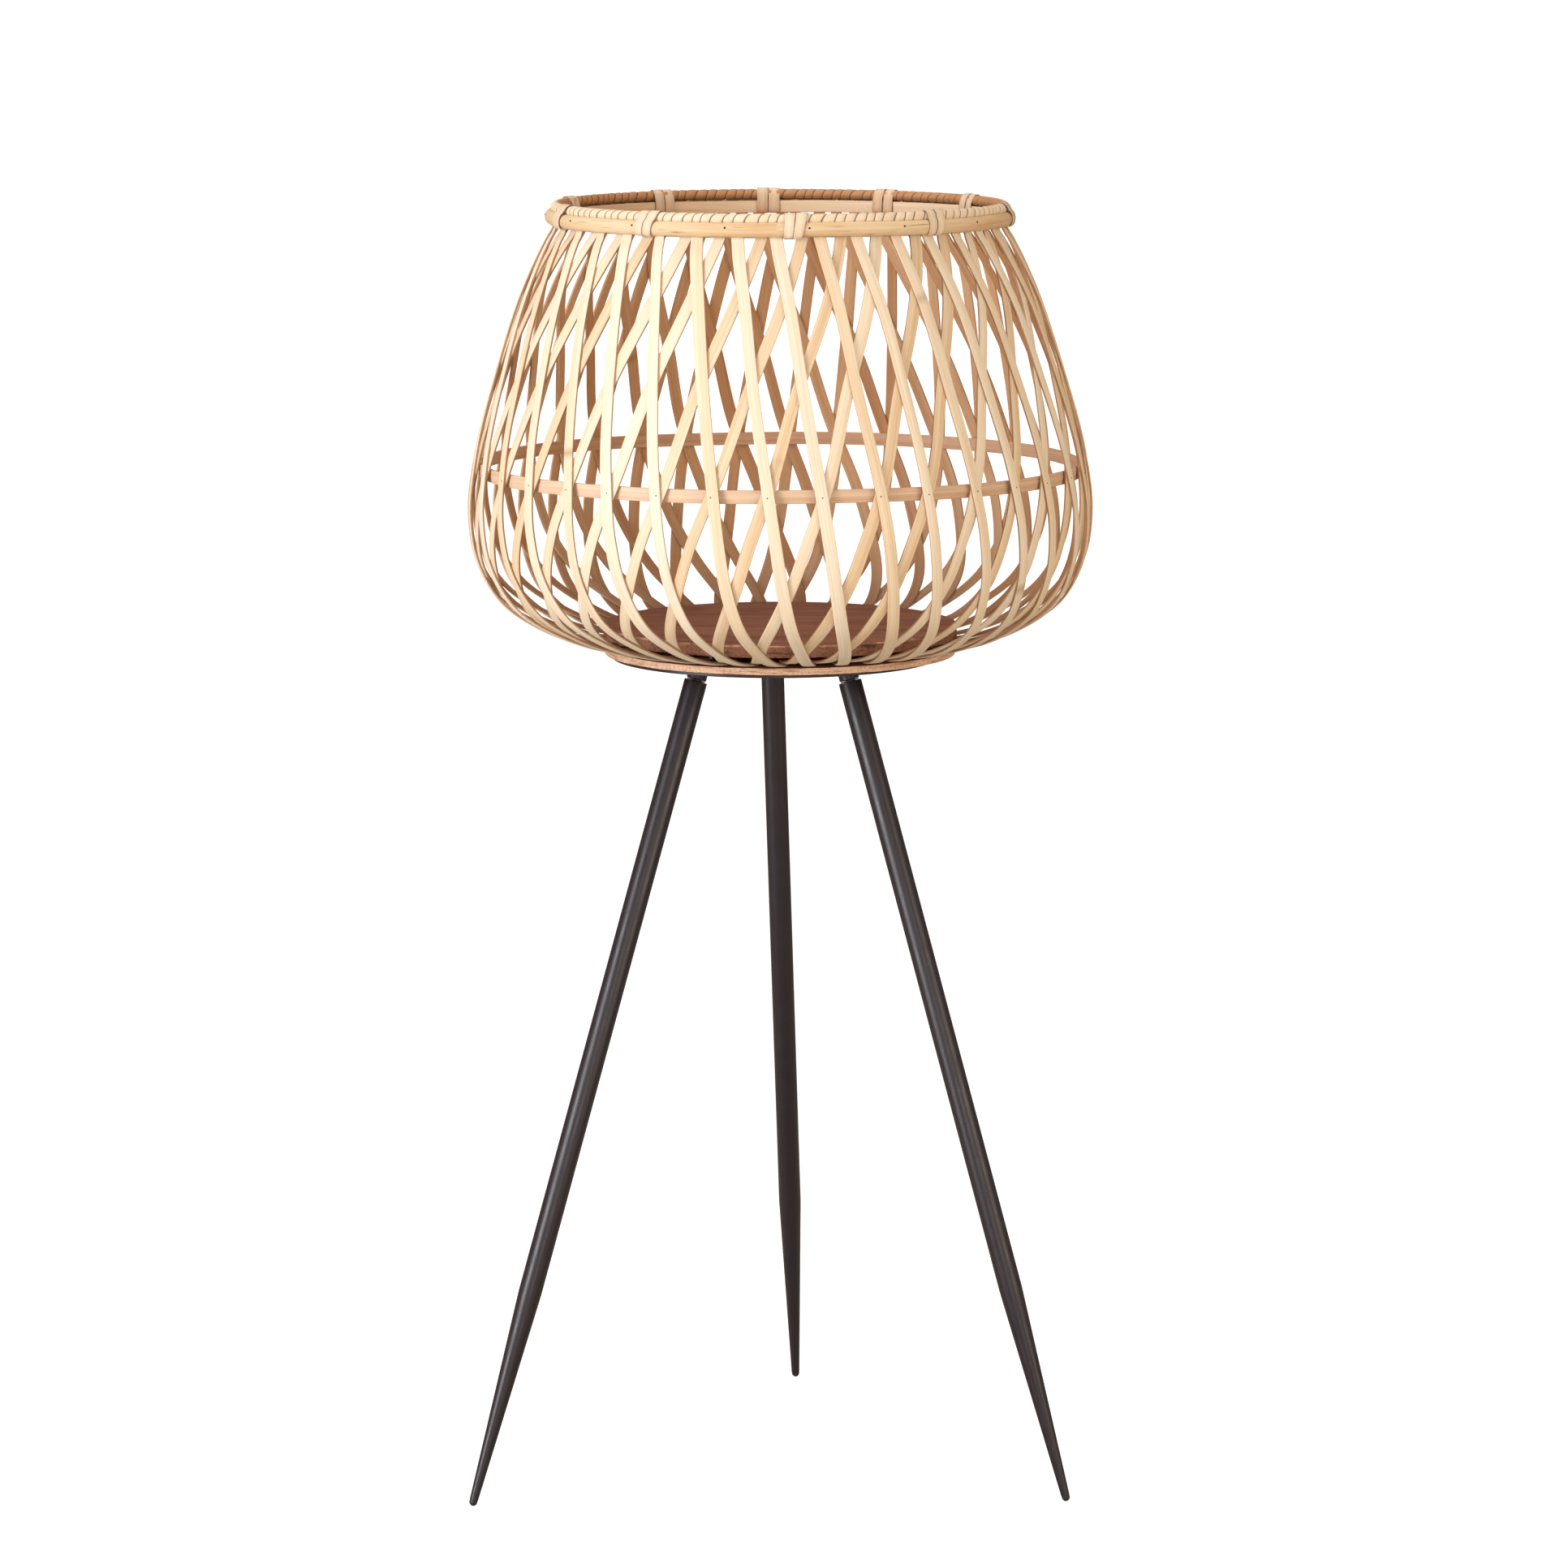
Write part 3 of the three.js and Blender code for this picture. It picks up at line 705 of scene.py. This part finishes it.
def build_hoop_nails():
    """A nail through each crossing of an outer and an inner strip on the hoop."""
    _, low, high = ring_sizes("mid_hoop")
    level = (low + high) / 2
    rows = smooth_rows(WALL, STRIP_STEP)[::-1]
    radius = np.interp(level - LIFT, rows[:, 1] * MM, rows[:, 0] * MM) + 0.1 * MM
    turns = [math.radians(crossing_angle(index)) for index in range(STRIP_COUNT)]
    nail_heads("hoop_nails", turns, radius, level, 0.1, HOOP_NAIL_RADIUS)


# ---- hoop and rim --------------------------------------------------------------------------

def ring_path(radius, height, count):
    """Centres and outward normals of a level ring, with a slight wander of a hand-bent hoop."""
    angle = np.linspace(0, 2 * math.pi, count, endpoint=False)
    wander = 0.25 * MM * np.sin(3 * angle + 0.7) + 0.15 * MM * np.sin(7 * angle)
    centres = polar(radius, angle, height + wander)
    normals = direction(1.0, angle, 0.0)
    return centres, normals


def flat_ring(name, node, bulge, material, slot, pith_and_shade):
    """A flat band bent into a hoop. The pith values, partly painted shade, are for its outer and
    inner faces.
    """
    outer, low, high = ring_sizes(node)
    radius = outer + bulge - BAND_THICKNESS / 2
    centres, normals = ring_path(radius, (low + high) / 2, 360)
    outline = bar_outline(high - low, BAND_THICKNESS, 0.6 * MM, crown=0.15 * MM)
    obj, _, outlines = sweep(name, centres, normals, outline, closed=True)
    facing = np.clip(outlines[..., 1] / BAND_THICKNESS + 0.5, 0, 1)
    set_value(obj, "pith_and_shade", pith_and_shade[1] + (pith_and_shade[0] - pith_and_shade[1]) * facing)
    # Painted light and shade round the ring: darker on the front-right and back-left quarters,
    # lighter on the other two.
    turn = np.linspace(0, 4 * math.pi, len(facing), endpoint=False)
    set_value(obj, "tone", np.broadcast_to(0.5 + 0.3 * np.sin(turn)[:, None], facing.shape))
    finish(obj, material, "basket", slot, node)


def build_cane():
    """The half-round outer cane: flat against the strips, round outside."""
    outer, low, high = ring_sizes("rim_outer_cane")
    half = (high - low) / 2
    depth = outer - CANE_BACK_RADIUS
    edge = 0.12  # radians left off each end of the bow
    bow = [
        (half * math.cos(a), depth * math.sin(a) ** 0.8)
        for a in np.linspace(edge, math.pi - edge, 17)
    ]
    back = [(-half * 0.86, 0.0), (half * 0.86, 0.0)]
    outline = np.array(bow + back)
    centres, normals = ring_path(CANE_BACK_RADIUS, (low + high) / 2, 480)
    obj, _, _ = sweep("rim_outer_cane_piece", centres, normals, outline, closed=True)
    finish(obj, CANE, "basket", "rim_cane", "rim_outer_cane")


def build_cane_nails():
    """Nails a little above the middle of the outer cane, not quite evenly spaced."""
    radius, low, high = ring_sizes("rim_outer_cane")
    level = (low + high) / 2 + 1.5 * MM
    turns = []
    for index in range(CANE_NAILS):
        stray = rng.uniform(-CANE_NAIL_JITTER, CANE_NAIL_JITTER)
        turns.append(math.radians(CANE_NAIL_START + 360 / CANE_NAILS * index + stray))
    nail_heads("cane_nails", turns, radius, level, 0.2, CANE_NAIL_RADIUS)


def build_coil():
    """Peel wound round the rim's core cane: one turn is one crowned, slanted band."""
    outer, _, top = ring_sizes("rim_coil_wrap")
    ring = outer - COIL_TUBE
    middle = top - COIL_TUBE
    per_turn, around = 18, 28
    count = COIL_TURNS * per_turn
    theta = np.linspace(0, 2 * math.pi, count, endpoint=False)
    phi = np.linspace(0, 2 * math.pi, around, endpoint=False)
    # The phase counts turns: its whole part names a turn, the rest is the place across it.
    turns = theta / (2 * math.pi) * COIL_TURNS
    wobble = 0.14 * np.sin(theta * 17) + 0.1 * np.sin(theta * 41 + 2)
    phase = (turns + wobble)[:, None] - phi / (2 * math.pi) + 0.16 * np.cos(phi)
    part = np.mod(phase, 1.0)
    band = np.floor(phase)
    crown = 1 - np.abs(2 * part - 1) ** 3
    # A number between 0 and 1 that belongs to each turn.
    varied = 0.5 + 0.5 * np.sin(band * 12.9898) * np.cos(band * 4.1)
    size = COIL_TUBE - PEEL_THICKNESS + (0.5 + 0.1 * varied) * MM * crown + 0.1 * MM * part
    points = polar(ring + size * np.cos(phi), theta[:, None], middle + size * np.sin(phi))
    edge = np.minimum(part, 1 - part)
    along = np.broadcast_to(phi * COIL_TUBE, part.shape)
    grain = np.stack([along, part * PEEL_WIDTH, varied], axis=-1)
    # Painted shade: the side towards the basket's axis is painted browner, and darker still
    # underneath.
    inward_shade = np.clip(-3 * np.cos(phi), 0, 1)
    lower = inward_shade * 0.6 * np.clip(-np.cos(phi - 1.3), 0, 1)
    layers = {
        "grain": grain.reshape(-1, 3),
        "seam_and_shade": np.maximum(np.exp(-((edge / SEAM_SHARE) ** 2)), lower).ravel(),
        "tone": (0.5 + 0.3 * (varied - 0.5)).ravel(),
        "shade": np.broadcast_to(inward_shade * 0.85, part.shape).ravel(),
    }
    faces = skin(count, around, closed=True)
    obj = mesh_object("rim_coil_peel", points.reshape(-1, 3), faces, layers, angle=60)
    finish(obj, PEEL, "basket", "rattan_peel", "rim_coil_wrap")


def build_core():
    """The round cane inside the coil."""
    outer, low, high = ring_sizes("rim_coil_core")
    size = (high - low) / 2
    middle = (high + low) / 2
    centres, normals = ring_path(outer - size, middle, 180)
    round_turn = np.linspace(0, 2 * math.pi, 12, endpoint=False)
    outline = size * np.stack([np.cos(round_turn), np.sin(round_turn)], axis=-1)
    obj, _, _ = sweep("rim_core_cane", centres, normals, outline, closed=True)
    finish(obj, CANE, "basket", "rim_cane", "rim_coil_core")


def tie_path():
    """Radius and height of a tie's path over the rim, from inside the band to under the cane."""
    cane_radius, cane_low, cane_high = ring_sizes("rim_outer_cane")
    band_radius, band_low, band_high = ring_sizes("rim_inner_band")
    gap = 0.35 * MM  # from what the peel lies on to the middle of its thickness
    outside = cane_radius + gap
    inside = band_radius - BAND_THICKNESS - 0.4 * MM
    top = ring_sizes("rim_coil_wrap")[2] + gap
    return np.array([
        (inside + 1.6 * MM, band_low - 0.4 * MM),
        (inside + 0.2 * MM, band_low + 0.5 * MM),
        (inside - 0.1 * MM, band_high - 1.5 * MM),
        (inside + 0.9 * MM, top - 4.3 * MM),
        (inside + 2.6 * MM, top - 1.3 * MM),
        (inside + 5.3 * MM, top),
        (inside + 8.0 * MM, top - 1.3 * MM),
        (outside - 2.6 * MM, top - 4.8 * MM),
        (outside - 0.6 * MM, cane_high - 1.6 * MM),
        (outside, (cane_low + cane_high) / 2 - 1.0 * MM),
        (outside - 0.7 * MM, cane_low + 1.3 * MM),
        (outside - 2.8 * MM, cane_low - 0.3 * MM),
    ])


def tie_turn(name, angle, side, lean, pinch, tie_rng, node):
    """One turn of peel over the rim, narrower and nearer its neighbour at the outer foot."""
    rows = smooth_rows(tie_path(), 0.9 * MM)
    run = unit(np.gradient(rows, axis=0))
    out, up = -run[:, 1], run[:, 0]
    share = np.linspace(0, 1, len(rows))
    over = np.clip((share - 0.45) / 0.55, 0, 1)
    rise = TIE_RISE if side > 0 else 0
    radius = rows[:, 0] + out * rise
    height = rows[:, 1] + up * rise
    shift = side * (TIE_SPACING / 2 - pinch * over) - lean * (over - 0.6)
    turn = math.radians(angle) + shift / radius
    centres = polar(radius, turn, height)
    normals = direction(out, turn, up)
    width = tie_rng.uniform(*TIE_WIDTH_RANGE)
    outline = bar_outline(width, PEEL_THICKNESS, 0.15 * MM, crown=0.1 * MM)
    taper = 1 - 0.2 * over
    seed = tie_rng.random()
    obj, _, outlines = sweep(name, centres, normals, tapered(outline, taper), seed=seed)
    across = np.abs(outlines[..., 0]) / (width / 2 * taper[:, None])
    set_value(obj, "seam_and_shade", np.clip((across - 0.95) * 16, 0, 0.8))
    set_value(obj, "tone", np.full(across.shape, tie_rng.uniform(0.45, 0.8)))
    # Painted shade on the part of the turn inside the rim, a little less on the first turn.
    inward_shade = np.clip(1.2 - 2.6 * share, 0, 1) * (0.45 if side < 0 else 0.6)
    set_value(obj, "shade", np.broadcast_to(inward_shade[:, None], across.shape))
    finish(obj, PEEL, "basket", "rattan_peel", node)


def build_ties():
    """Two turns of peel at each tie, the second lying a little higher."""
    tie_rng = random.Random(SEED + 1)
    for index, angle in enumerate(TIE_ANGLES):
        node = f"rim_tie_{index + 1:02d}"
        lean = tie_rng.uniform(2.4, 4.6) * MM
        pinch = tie_rng.uniform(0.7, 1.1) * MM
        for letter, side in (("a", -1), ("b", 1)):
            tie_turn(f"{node}{letter}", angle, side, lean, pinch, tie_rng, node)


# ---- base ----------------------------------------------------------------------------------

def sawn_edge(strength):
    """Roughness of a sawn ply edge: its radius changes with the turn and the ply."""
    def rough(turn, height, across, through):
        place = (math.cos(turn) * across, math.sin(turn) * across, height * through)
        return noise.noise(Vector(place))

    def change(turn, height):
        return strength * (rough(turn, height, 60, 700) + 0.7 * rough(turn, height, 400, 1500))

    return change


def build_disc(node, material, slot, roughness, bevel):
    """A disc with eased edges, its outer edge as rough as a saw leaves it."""
    radius, low, high = ring_sizes(node)
    edge_rows, ease = 9, bevel * 0.4
    profile = [(0, low), (radius - 2 * bevel, low), (radius - ease, low + ease)]
    profile += [(radius, height) for height in np.linspace(low + bevel, high - bevel, edge_rows)]
    profile += [(radius - ease, high - ease), (radius - 2 * bevel, high), (0, high)]
    change = sawn_edge(roughness) if roughness else None
    place = Matrix.Translation(middle_of(node))
    obj = lathe(f"{node}_piece", profile, DISC_SEGMENTS, place, roughen=change)
    finish(obj, material, "basket", slot, node)


def build_screws():
    """Pan-head screws, heads down, with a pointed end and a cross recess."""
    head, shank = 4.2 * MM, 1.9 * MM
    head_height, point = 2.4 * MM, 4 * MM
    for index in range(1, SCREW_COUNT + 1):
        node = f"clamp_screw_{index}"
        _, low, high = ring_sizes(node)
        centre = middle_of(node)
        seat = low + head_height
        profile = [
            (0, low),
            (head * 0.55, low + 0.1 * MM),
            (head * 0.85, low + 0.8 * MM),
            (head, low + 1.7 * MM),
            (head, seat),
            (shank, seat),
            (shank, high - point),
            (0, high),
        ]
        screw = lathe(f"{node}_piece", profile, 32, Matrix.Translation(centre))
        cut_cross(screw, centre, low)
        finish(screw, ZINC, "basket", "bare_steel", node)


def cut_cross(screw, centre, low):
    """Cuts a cross recess into the underside of a screw head."""
    length, width, depth = 4.2 * MM, 0.9 * MM, 1.4 * MM
    first_turn = 20
    for turn in (first_turn, first_turn + 90):
        cutter = bmesh.new()
        bmesh.ops.create_cube(cutter, size=1)
        size = Matrix.Diagonal((length, width, 2 * depth, 1))
        turned = Matrix.Rotation(math.radians(turn), 4, "Z")
        place = Matrix.Translation((centre.x, centre.y, low)) @ turned
        bmesh.ops.transform(cutter, matrix=place @ size, verts=cutter.verts)
        mesh = bpy.data.meshes.new("cross_cutter")
        cutter.to_mesh(mesh)
        cutter.free()
        tool = bpy.data.objects.new("cross_cutter", mesh)
        bpy.context.scene.collection.objects.link(tool)
        modifier = screw.modifiers.new("cross", "BOOLEAN")
        modifier.object = tool
        modifier.operation = "DIFFERENCE"
        with bpy.context.temp_override(object=screw, active_object=screw):
            bpy.ops.object.modifier_apply(modifier="cross")
        bpy.data.objects.remove(tool)


# ---- legs ----------------------------------------------------------------------------------

def leg_place(joint):
    """Matrix whose +Z runs up the leg's axis, with its origin at the tube's top end."""
    up = -Vector(joint["axis"]).normalized()
    turn = up.to_track_quat("Z", "Y").to_matrix().to_4x4()
    return Matrix.Translation(joint["pos_m"]) @ turn


def thread(name, radius, low, high, place):
    """A stud with a right-hand thread, its ends eased to the root."""
    around, per_pitch = 24, 8
    rows = int((high - low) / THREAD_PITCH * per_pitch)
    heights = np.linspace(low, high, rows)
    turn = np.linspace(0, 2 * math.pi, around, endpoint=False)
    phase = np.mod(heights[:, None] / THREAD_PITCH - turn[None] / (2 * math.pi), 1)
    ridge = 1 - np.abs(2 * phase - 1)
    run_out, end_bevel = 1.2 * MM, 0.5 * MM
    ends = np.clip(np.minimum(heights - low, high - heights) / run_out, 0, 1)[:, None]
    size = radius - THREAD_DEPTH + THREAD_DEPTH * np.clip(ridge * 1.25, 0, 1) * ends
    size = size - end_bevel * (1 - ends)
    level = np.broadcast_to(heights[:, None], size.shape)
    points = np.stack([size * np.cos(turn), size * np.sin(turn), level], axis=-1)
    world = [place @ Vector(p) for p in points.reshape(-1, 3)]
    return mesh_object(name, world, skin(rows, around), angle=60)


def build_tube(number, place, end):
    """Straight tube from the joint down to the shoulder, then a taper to the tip."""
    mouth = TIP_RADIUS + 0.15 * MM
    shoulder = end + TAPER_LENGTH - TIP_LENGTH
    profile = [
        (mouth - TUBE_WALL, end),
        (mouth, end),
        (TUBE_RADIUS - 0.12 * MM, shoulder - 2 * MM),
        (TUBE_RADIUS, shoulder + 2 * MM),
        (TUBE_RADIUS, -0.5 * MM),
        (TUBE_RADIUS - 0.15 * MM, -0.15 * MM),
        (TUBE_RADIUS - 0.5 * MM, 0),
        (TUBE_RADIUS - TUBE_WALL, 0),
        (TUBE_RADIUS - TUBE_WALL, shoulder),
    ]
    tube = lathe(f"leg_tube_{number}_piece", profile, 64, place, angle=30)
    finish(tube, BLACK_COAT, f"leg_{number}", "black_steel", f"leg_tube_{number}")


def build_tip(number, place, length, end):
    """Rounded foot whose spigot sits in the tube's narrow end."""
    profile = [
        (TIP_RADIUS * math.sin(a), -length + TIP_RADIUS * (1 - math.cos(a)))
        for a in np.linspace(0, math.pi / 2, 9)
    ]
    spigot, ledge, top = 1.4 * MM, end - CLEARANCE, end + 9 * MM
    profile += [(TIP_RADIUS, ledge), (spigot, ledge), (spigot, top), (0, top)]
    tip = lathe(f"leg_tip_{number}_piece", profile, 40, place)
    finish(tip, BLACK_PLASTIC, f"leg_{number}", "black_plastic", f"leg_tip_{number}")


def build_fixing(number, place):
    """Threaded plug in the tube's top end, the stud in it and the washer above it."""
    plug_radius = TUBE_RADIUS - TUBE_WALL - 0.15 * MM
    profile = ring_profile(STUD_HOLE, plug_radius, -PLUG_LENGTH, -CLEARANCE, 0.3 * MM)
    plug = lathe(f"leg_plug_{number}_piece", profile, 48, place)
    finish(plug, ZINC, f"leg_{number}", "bare_steel", f"leg_plug_{number}")

    stud = thread(f"leg_stud_{number}_piece", STUD_RADIUS, -STUD_BELOW, STUD_ABOVE, place)
    finish(stud, ZINC, f"leg_{number}", "bare_steel", f"leg_stud_{number}")

    washer_top = BOSS_GAP - CLEARANCE
    profile = ring_profile(STUD_HOLE, WASHER_RADIUS, CLEARANCE, washer_top, 0.15 * MM)
    washer = lathe(f"leg_washer_{number}_piece", profile, 48, place)
    finish(washer, BLACK_COAT, f"leg_{number}_washer", "bare_steel", f"leg_washer_{number}")


def build_boss(number, place, up):
    """The boss is square to the leg below and cut level with the plate above."""
    plate_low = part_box("leg_plate")[0].z
    profile = ring_profile(STUD_HOLE, BOSS_RADIUS, BOSS_GAP, 30 * MM, 0.4 * MM)
    boss = lathe(f"leg_boss_{number}_piece", profile, 64, place)
    upper_part = BOSS_GAP + 5 * MM
    origin = place.translation
    for vertex in boss.data.vertices:
        along = (vertex.co - origin).dot(up)
        if along > upper_part:
            vertex.co += up * ((plate_low - vertex.co.z) / up.z)
    finish(boss, BLACK_COAT, "basket", "black_steel", f"leg_boss_{number}")


def build_leg(number):
    """One leg with what fixes it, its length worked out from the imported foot."""
    joint = next(j for j in frame["joints"] if j["name"] == f"leg_{number}_turn")
    place = leg_place(joint)
    up = (place.to_3x3() @ Vector((0, 0, 1))).normalized()
    foot_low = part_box(f"leg_tip_{number}")[0].z
    length = (joint["pos_m"][2] - foot_low - TIP_RADIUS * (1 - up.z)) / up.z
    end = -length + TIP_LENGTH
    build_tube(number, place, end)
    build_tip(number, place, length, end)
    build_fixing(number, place)
    build_boss(number, place, up)


# ---- stage ---------------------------------------------------------------------------------

LENS = 138.79  # millimetres, on a sensor 36 mm wide
CAMERA_PLACE = (0.0027, -4.1491, 1.1198)  # from the foot of the basket's axis
CAMERA_TILT = 0.152  # radians below level


def build_stage():
    """Pale floor that curves up into a backdrop."""
    half, front, back, bend, rise, steps = 14.0, -9.0, 5.0, 2.5, 9.0, 16
    profile = [(front, 0.0), (back - bend, 0.0)]
    for k in range(1, steps + 1):
        a = math.pi / 2 * k / steps
        profile.append((back - bend + bend * math.sin(a), bend * (1 - math.cos(a))))
    profile.append((back, rise))
    vertices = [(x, y, z) for y, z in profile for x in (-half, half)]
    faces = [(2 * i, 2 * i + 1, 2 * i + 3, 2 * i + 2) for i in range(len(profile) - 1)]
    floor = mesh_object("studio_floor", vertices, faces)
    floor.data.materials.append(floor_material())


def area_light(name, place, target, size, power, colour=(1, 1, 1)):
    """A round soft light of a size in metres and a power in watts, aimed at the target."""
    data = bpy.data.lights.new(name, "AREA")
    data.shape = "DISK"
    data.size = size
    data.energy = power
    data.color = colour
    light = bpy.data.objects.new(name, data)
    light.location = place
    light.rotation_euler = (Vector(target) - Vector(place)).to_track_quat("-Z", "Y").to_euler()
    bpy.context.scene.collection.objects.link(light)


def build_lights():
    """Soft lights: cool ones on the left, a warm fill on the right, others in front and above."""
    target = (AXIS.x, AXIS.y, 0.65)
    area_light("key", (-3.5, -2.8, 1.9), target, 1.9, 115, (0.98, 1.0, 1.03))
    area_light("low", (-3.2, -2.3, 0.3), target, 1.6, 60, (1.0, 0.97, 0.98))
    area_light("fill", (3.2, -2.6, 1.5), target, 2.4, 57, (1.0, 0.84, 0.64))
    area_light("front", (0.4, -4.6, 1.1), target, 2.2, 39, (1.0, 0.95, 0.9))
    area_light("top", (-0.6, 0.5, 3.6), target, 1.6, 30)
    world = bpy.data.worlds.new("studio")
    world.use_nodes = True
    background = world.node_tree.nodes["Background"]
    background.inputs["Color"].default_value = (1, 0.93, 0.86, 1)
    background.inputs["Strength"].default_value = 0.5
    bpy.context.scene.world = world
    bpy.context.scene.view_settings.view_transform = "Standard"


def build_camera():
    """A long lens in front of the basket, a little above it, looking slightly down."""
    data = bpy.data.cameras.new("camera")
    data.sensor_width = 36
    data.lens = LENS
    data.clip_end = 100
    camera = bpy.data.objects.new("camera", data)
    camera.location = AXIS + Vector(CAMERA_PLACE)
    camera.rotation_euler = (math.pi / 2 - CAMERA_TILT, 0, 0)
    bpy.context.scene.collection.objects.link(camera)
    bpy.context.scene.camera = camera


# ---- assembly ------------------------------------------------------------------------------

build_camera()
build_strips()
build_hoop_nails()

flat_ring("mid_hoop_piece", "mid_hoop", 0.5 * MM, SHADED_HOOP_BAMBOO, "inner_bamboo", (0.12, 0.5))
flat_ring("rim_inner_band_piece", "rim_inner_band", 0.1 * MM, INNER_BAMBOO, "rim_cane", (0.6, 0.38))
build_cane()
build_core()
build_coil()
build_ties()
build_cane_nails()

build_disc("base_upper_disc", UPPER_PLY, "plywood", roughness=0.5 * MM, bevel=0.4 * MM)
build_disc("base_lower_disc", LOWER_PLY, "plywood", roughness=0.3 * MM, bevel=0.4 * MM)
build_disc("leg_plate", BLACK_COAT, "black_steel", roughness=0, bevel=0.3 * MM)
build_screws()
for leg_number in (1, 2, 3):
    build_leg(leg_number)
build_stage()
build_lights()
